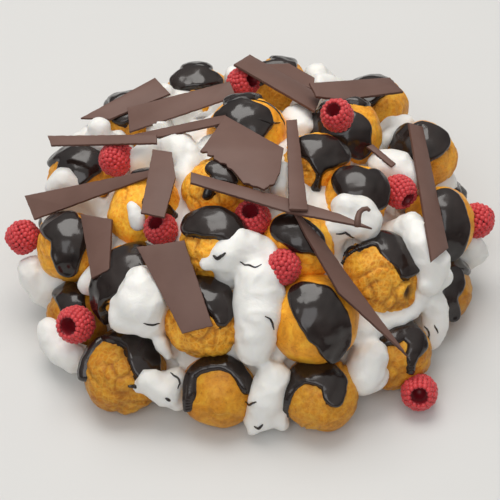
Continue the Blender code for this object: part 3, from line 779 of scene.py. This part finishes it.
class BallHeap:
    """Soft balls of cream, gathered as one mesh."""

    def __init__(self):
        shape = bmesh.new()
        bmesh.ops.create_icosphere(shape, subdivisions=3, radius=1.0)
        self.points = np.array([vert.co for vert in shape.verts])
        self.faces = np.array([[vert.index for vert in face.verts] for face in shape.faces])
        shape.free()
        self.made = []

    def ball(self, place, radius):
        """Add one ball."""
        self.made.append(self.points * radius + np.array(place))

    def run(self, start, end, radius, radius_2):
        """Balls close enough together, from start to end, to make one smooth lobe."""
        steps = max(1, math.ceil((end - start).length / RUN_STEP))
        for step in range(steps + 1):
            share = step / steps
            self.ball(start.lerp(end, share), radius + (radius_2 - radius) * share)

    def root(self, place, radius):
        """A tapering run from a ball to the mound: down from the high ones, inward from the others."""
        reach = math.hypot(place.x, place.y)
        if place.z > CROWN and reach < MOUND[2][0]:
            foot = Vector((place.x, place.y, min(place.z, mound_height(reach)) - ROOT_STEP / 2))
        else:
            depth = max(0.0, reach - mound_radius(place.z) + ROOT_STEP)
            foot = place - (Vector((place.x, place.y, 0)) / reach + Vector((0, 0, ROOT_FALL))) * depth
        self.run(place, foot, radius, radius * 0.7)

    def mesh_with(self, other, name):
        """The balls and another mesh, as one mesh in metres."""
        count = len(self.points)
        faces = np.concatenate([self.faces + count * number for number in range(len(self.made))])
        shape = bmesh.new()
        shape.from_mesh(mesh_from(name + "_balls", np.concatenate(self.made) * MM, faces))
        shape.from_mesh(other)
        return mesh_of(shape, name)


def mound_mesh():
    """The mound: a turned profile, closed at the crown and the foot."""
    profile = [(0.0, MOUND[0][1] + 3.0), *MOUND, (0.0, MOUND[-1][1])]
    shape = bmesh.new()
    turn_profile(shape, [(radius * MM, height * MM) for radius, height in profile], 64, 0.05 * MM)
    return mesh_of(shape, "mound")


def mound_height(reach):
    """How high the mound's top is at a distance from its middle."""
    radii, heights = zip(*MOUND[:MOUND_SHOULDER])
    return float(np.interp(reach, radii, heights))


def mound_radius(height):
    """The mound's radius at a height."""
    radii, heights = zip(*reversed(MOUND))
    return float(np.interp(height, heights, radii))


def apply_modifiers(obj):
    """Replace an object's mesh with what its modifiers make of it."""
    bpy.context.view_layer.update()
    mesh = bpy.data.meshes.new_from_object(obj.evaluated_get(bpy.context.evaluated_depsgraph_get()))
    obj.modifiers.clear()
    obj.data = mesh


def cream_balls(rng):
    """Every dollop: the runs that show at the front, and seeded ones that fill the back."""
    heap = BallHeap()
    for run in DOLLOPS.values():
        balls = [(Vector(row[:3]), row[3]) for row in run]
        for place, radius in balls:
            heap.root(place, radius)
        for (start, radius), (end, radius_2) in zip(balls, balls[1:]):
            heap.run(start, end, radius, radius_2)
            for _ in range(LUMPS if radius > SLENDER else 0):
                side = Vector([rng.gauss(0, 1) for _ in range(3)]).normalized()
                size = (radius + radius_2) / 2
                heap.ball(start.lerp(end, rng.random()) + side * size * 0.66, size * rng.uniform(0.42, 0.58))
    for run in PEAKS:
        for start, end in zip(run, run[1:]):
            heap.run(Vector(start[:3]), Vector(end[:3]), start[3], end[3])
    for reach, height, radius, first, last, step in BACK_TIERS:
        for azimuth in range(first, last, step):
            place = direction(azimuth + rng.uniform(-3, 3), 0) * (reach + rng.uniform(-2, 2))
            place.z = height + rng.uniform(-3, 3)
            size = radius * rng.uniform(0.85, 1.15)
            lean = Vector((rng.uniform(-4, 4), rng.uniform(-4, 4), rng.uniform(4, 8)))
            heap.root(place, size)
            heap.run(place - lean, place + lean, size * 0.8, size * 0.72)
    for _ in range(SLOPE_LUMPS):
        height, size = rng.uniform(40, 84), rng.uniform(6, 10)
        place = direction(rng.uniform(20, 160), 0) * (mound_radius(height) - size * 0.45)
        place.z = height
        heap.ball(place, size)
    return heap


def berry_form(name):
    """A berry's middle and its smallest side, from its solid."""
    low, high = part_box(name)
    return (low + high) / 2, min(high.x - low.x, high.y - low.y, high.z - low.z)


def clear_hollows(points):
    """Move cream that would fill a berry's hollow down into the berry's body."""
    for number, hollow in enumerate(BERRY_HOLLOWS, 1):
        middle, width = berry_form(f"raspberry_{number:02}")
        axis = np.array(direction(*hollow))
        place = points - np.array(middle)
        distance = np.linalg.norm(place, axis=1)
        inside = distance < width * 0.46
        points[inside] += place[inside] * -0.75 - axis * width * 0.27


def make_cream(material, rng):
    """The cream as one body: mound and dollops run together, with soft swells and folds, flat underneath."""
    mesh = cream_balls(rng).mesh_with(mound_mesh(), "cream")
    obj = new_object("cream", mesh, material, ("whipped_cream",))
    remesh = obj.modifiers.new("remesh", "REMESH")
    remesh.mode = "VOXEL"
    remesh.voxel_size = CREAM_VOXEL * MM
    smooth = obj.modifiers.new("smooth", "SMOOTH")
    smooth.factor = 0.5
    smooth.iterations = CREAM_SMOOTH
    apply_modifiers(obj)
    points, normals = vertex_arrays(obj.data)
    for i, place in enumerate(Vector(point) for point in points / MM):
        swell = noise.noise(place / CREAM_SWELL_SIZE) * CREAM_SWELL
        warp = noise.noise_vector(place / CREAM_BEND_SIZE) * CREAM_BEND
        ridge = 0.5 - abs(noise.noise((place + warp) / CREAM_FOLD_SIZE))
        curl = noise.noise(place / CREAM_CURL_SIZE) * CREAM_CURL
        points[i] += normals[i] * (swell + ridge * ridge * 4 * CREAM_FOLD + curl) * MM
    clear_hollows(points)
    press_under_shards(points, PRESS_CREAM)
    points[:, 2] = np.maximum(points[:, 2], 0.0)
    obj.data.vertices.foreach_set("co", points.ravel())
    obj.data.update()
    obj.data.shade_smooth()


# ---- raspberries

def drupelet_places(width):
    """(place, outward direction) of each drupelet of a berry along +Z, its hollow at the top."""
    half, tall = width / 2 - DRUPELET * 0.36, width / 2 - DRUPELET * 0.3
    profile = []
    for angle in np.linspace(-90, 58, 120):
        turn = math.radians(angle)
        spread = math.cos(turn) ** 0.82 if angle < 0 else math.cos(turn) ** 0.7
        profile.append(Vector((half * spread, 0, tall * math.sin(turn))))
    lengths = np.concatenate([[0], np.cumsum([(b - a).length for a, b in zip(profile, profile[1:])])])
    rings = round(lengths[-1] / (DRUPELET * 0.84))
    places = []
    for ring in range(rings + 1):
        along = lengths[-1] * ring / rings
        at = min(len(profile) - 2, int(np.searchsorted(lengths, along)))
        point = profile[at]
        slope = (profile[at + 1] - profile[at]).normalized()
        outward = Vector((slope.z, 0, -slope.x))
        count = max(1, round(math.tau * point.x / (DRUPELET * 0.93)))
        for number in range(count):
            turn = Matrix.Rotation(math.tau * (number + 0.5 * (ring % 2)) / count, 3, "Z")
            places.append((turn @ point, turn @ outward))
    return places


def make_berry(name, material, rng):
    """A raspberry: drupelets in staggered rings round a thin cup, which takes the skin's painted shade colour
    and shows dark in the hollow.
    """
    middle, width = berry_form(name)
    width = width / MM * BERRY_FILL
    azimuth, elevation = BERRY_HOLLOWS[int(name[-2:]) - 1]
    shape = bmesh.new()
    # How far out on its drupelet each vertex lies, for the skin's painted shade between the drupelets; the cup
    # keeps 0 and is painted shade all over
    outside = shape.verts.layers.float.new("outside")
    turn_profile(shape, [(radius * width, height * width) for radius, height in BERRY_CUP], 24, 0.02)
    for place, outward in drupelet_places(width):
        grown = DRUPELET * rng.uniform(0.92, 1.12)
        jitter = Vector([rng.uniform(-1, 1) for _ in range(3)]) * 0.16
        turn = outward.to_track_quat("Z", "Y").to_matrix().to_4x4()
        matrix = Matrix.Translation(place + jitter) @ turn @ Matrix.Diagonal((1.12, 1.12, 0.95, 1))
        made = bmesh.ops.create_icosphere(shape, subdivisions=2, radius=grown / 2, matrix=matrix)
        for vert in made["verts"]:
            vert[outside] = min(1.0, max(0.0, 0.45 + (vert.co - place).dot(outward) / (grown * 0.5)))
    shape.transform(Matrix.Scale(MM, 4))
    shape.transform(Euler((0, math.radians(90 - elevation), math.radians(azimuth))).to_matrix().to_4x4())
    shape.transform(Matrix.Translation(middle))
    new_object("berry_" + name[-2:], mesh_of(shape, name), material, (name,))


# ---- shards

def chipped(points, normal, rng, torn):
    """The outline with its edges broken into small uneven steps, and torn at the front if a chip is given."""
    made = []
    middle = sum(points, Vector()) / len(points)
    for start, end in zip(points, points[1:] + points[:1]):
        across = (end - start).cross(normal).normalized()
        steps = max(1, round((end - start).length / (SHARD_EDGE_STEP * MM)))
        drift = rng.uniform(0, 50)
        chip = torn if torn and abs(across.y) > 0.6 and start.y + end.y < middle.y * 2 else SHARD_CHIP
        for step in range(steps):
            place = start.lerp(end, step / steps)
            inside = min(step, steps - step) / 2
            wave = noise.noise(Vector((drift + step * 0.35, 0, 0)))
            wave += 0.6 * noise.noise(Vector((drift, step * 0.9, 0)))
            made.append(place - across * abs(wave) * min(1.0, inside) * chip * 1.6 * MM)
    return made


def make_shard(name, material, rng):
    """A thin plate of chocolate with uneven broken edges, softly rounded."""
    points, normal, thickness = SHARD_PLATES[name]
    shape = bmesh.new()
    broken = shape.verts.layers.float.new("broken")
    outline = chipped(points, normal, rng, SHARD_TORN.get(name))
    face = shape.faces.new([shape.verts.new(point) for point in outline])
    made = bmesh.ops.extrude_face_region(shape, geom=[face])
    for item in made["geom"]:
        if isinstance(item, bmesh.types.BMVert):
            item.co -= normal * thickness
    bmesh.ops.recalc_face_normals(shape, faces=shape.faces)
    rims = [edge for edge in shape.edges if edge.calc_face_angle(0) > math.radians(60)
            and abs((edge.verts[0].co - edge.verts[1].co).normalized().dot(normal)) < 0.5]
    bmesh.ops.bevel(shape, geom=rims, offset=SHARD_BEVEL * MM, segments=2, affect="EDGES", profile=0.5)
    for vert in shape.verts:
        # Marks every face that doesn't face up, for the painted shade on the edges and underside
        vert[broken] = 0.0 if vert.normal.dot(normal) > 0.9 else 1.0
    mesh = mesh_of(shape, name)
    mesh.set_sharp_from_angle(angle=math.radians(40))
    replaced = (name,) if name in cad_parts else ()
    new_object("plate_" + name.removeprefix("shard_"), mesh, material, replaced)


# ---- threads

def make_tubes(name, runs, material):
    """Round tubes through runs of (x, y, z, radius) in millimetres, closed at both ends."""
    points, faces = [], []
    for run in runs:
        for number, (x, y, z, radius) in enumerate(run):
            place = Vector((x, y, z))
            ahead = Vector(run[min(number + 1, len(run) - 1)][:3]) - Vector(run[max(number - 1, 0)][:3])
            turn = ahead.to_track_quat("Z", "Y")
            for side in range(THREAD_SIDES):
                angle = math.tau * side / THREAD_SIDES
                points.append((place + turn @ Vector((math.cos(angle), math.sin(angle), 0)) * radius) * MM)
        base = len(points) - len(run) * THREAD_SIDES
        for ring in range(len(run) - 1):
            for side in range(THREAD_SIDES):
                low, near = base + ring * THREAD_SIDES, (side + 1) % THREAD_SIDES
                faces.append((low + side, low + near, low + THREAD_SIDES + near, low + THREAD_SIDES + side))
        faces.append(tuple(range(base + THREAD_SIDES - 1, base - 1, -1)))
        faces.append(tuple(range(len(points) - THREAD_SIDES, len(points))))
    mesh = mesh_from(name, points, faces)
    # The hook takes 0.3 of the shard material's painted edge shade all over; the threads' glaze doesn't read
    # it
    add_attribute(mesh, "broken", np.full(len(points), 0.3))
    new_object(name, mesh, material)


def make_threads(material):
    """Threads of chocolate that follow the surface under them, thin at both ends."""
    under = [tree_of(obj.data) for obj in bpy.context.scene.objects
             if obj.type == "MESH" and obj.name.startswith(("cream", "bun_", "glaze_"))]
    runs = []
    for radius, places in THREADS:
        lengths = np.concatenate([[0], np.cumsum([math.dist(a, b) for a, b in zip(places, places[1:])])])
        steps = max(4, round(lengths[-1] / THREAD_STEP))
        run = []
        for step in range(steps + 1):
            along = lengths[-1] * step / steps
            place = Vector([np.interp(along, lengths, [row[axis] for row in places]) for axis in range(3)])
            place += noise.noise_vector(place / THREAD_BEND_SIZE) * THREAD_BEND
            hits = [tree.find_nearest(place * MM) for tree in under]
            spot, normal = min(hits, key=lambda hit: hit[3])[:2]
            thick = radius * (0.35 + 0.65 * math.sin(math.pi * (step + 0.5) / (steps + 1)))
            run.append((*(spot / MM + normal * thick * 0.25), thick))
        runs.append(run)
    make_tubes("chocolate_threads", runs, material)


# ---- stage, lights and camera

def make_stage():
    """A plain pale table top."""
    bpy.ops.mesh.primitive_plane_add(size=FLOOR_SIDE, location=(0, 0, -FLOOR_DROP))
    plane = bpy.context.object
    plane.name = "table_top"
    shader = Shader("pale_table", Specular_IOR_Level=0.3, Roughness=0.6)
    colour = shader.ramp(shader.noise(3.0, 3.0, 0.5), (0.3, FLOOR_LOW), (0.7, FLOOR_HIGH))
    plane.data.materials.append(shader.feed(Base_Color=colour))


def add_light(name, place, size, power, colour):
    """A square soft light aimed at the cake."""
    light = bpy.data.lights.new(name, "AREA")
    light.size = size
    light.energy = power
    light.color = colour
    obj = bpy.data.objects.new(name, light)
    obj.location = place
    obj.rotation_euler = (Vector(LIGHT_AIM) - Vector(place)).to_track_quat("-Z", "Y").to_euler()
    bpy.context.scene.collection.objects.link(obj)


def light_scene():
    """Soft light of a bright room: a pale ceiling over dimmer walls, and two large soft sources."""
    world = bpy.data.worlds.new("room")
    world.use_nodes = True
    tree = world.node_tree
    height = tree.nodes.new("ShaderNodeSeparateXYZ")
    tree.links.new(tree.nodes.new("ShaderNodeTexCoord").outputs["Generated"], height.inputs[0])
    ramp = tree.nodes.new("ShaderNodeValToRGB")
    for element, (position, colour) in zip(ramp.color_ramp.elements, ROOM):
        element.position = position
        element.color = (*colour, 1.0)
    tree.links.new(height.outputs["Z"], ramp.inputs["Fac"])
    tree.links.new(ramp.outputs["Color"], tree.nodes["Background"].inputs["Color"])
    tree.nodes["Background"].inputs["Strength"].default_value = ROOM_STRENGTH
    bpy.context.scene.world = world
    for light in LIGHTS:
        add_light(*light)


def place_camera():
    """The camera, at the height and distance that the picture was taken from."""
    camera = bpy.data.cameras.new("camera")
    camera.lens = LENS
    camera.sensor_width = SENSOR
    obj = bpy.data.objects.new("camera", camera)
    tilt = Matrix.Rotation(math.radians(90 - CAMERA_TILT), 4, "X")
    roll = Matrix.Rotation(math.radians(CAMERA_ROLL), 4, "Z")
    obj.matrix_world = Matrix.Translation(CAMERA_PLACE) @ (tilt @ roll)
    bpy.context.scene.collection.objects.link(obj)
    bpy.context.scene.camera = obj
    bpy.context.scene.view_settings.view_transform = "Standard"


# ---- the cake

CRUST_GRID = sphere_grid(CRUST_CELLS)
GLAZE_GRID = sphere_grid(GLAZE_CELLS)
SHARD_PLATES = {name: shard_outline(name) for name in sorted(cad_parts) if name.startswith("shard")}
SHARD_PLATES["strip"] = strip_outline()


def dress_cake():
    """Make every visible piece of the cake."""
    rng = random.Random(SEED)
    noise.seed_set(SEED)
    crust, glaze, shard = choux_material(), glaze_material(), shard_material()
    cream, berry = cream_material(), berry_material()
    names = sorted(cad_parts)
    for number, name in enumerate(name for name in names if name.startswith(("base", "mid", "top"))):
        bun = Bun(name, number)
        strokes = GLAZE.get(name) or back_glaze(bun, rng)
        make_crust(bun, strokes, crust, rng)
        make_glaze(bun, strokes, glaze)
    make_cream(cream, rng)
    for name in names:
        if name.startswith("raspberry"):
            make_berry(name, berry, rng)
    for name in SHARD_PLATES:
        make_shard(name, shard, rng)
    make_tubes("plate_hook", [HOOK], shard)
    make_threads(glaze)


dress_cake()
make_stage()
light_scene()
place_camera()
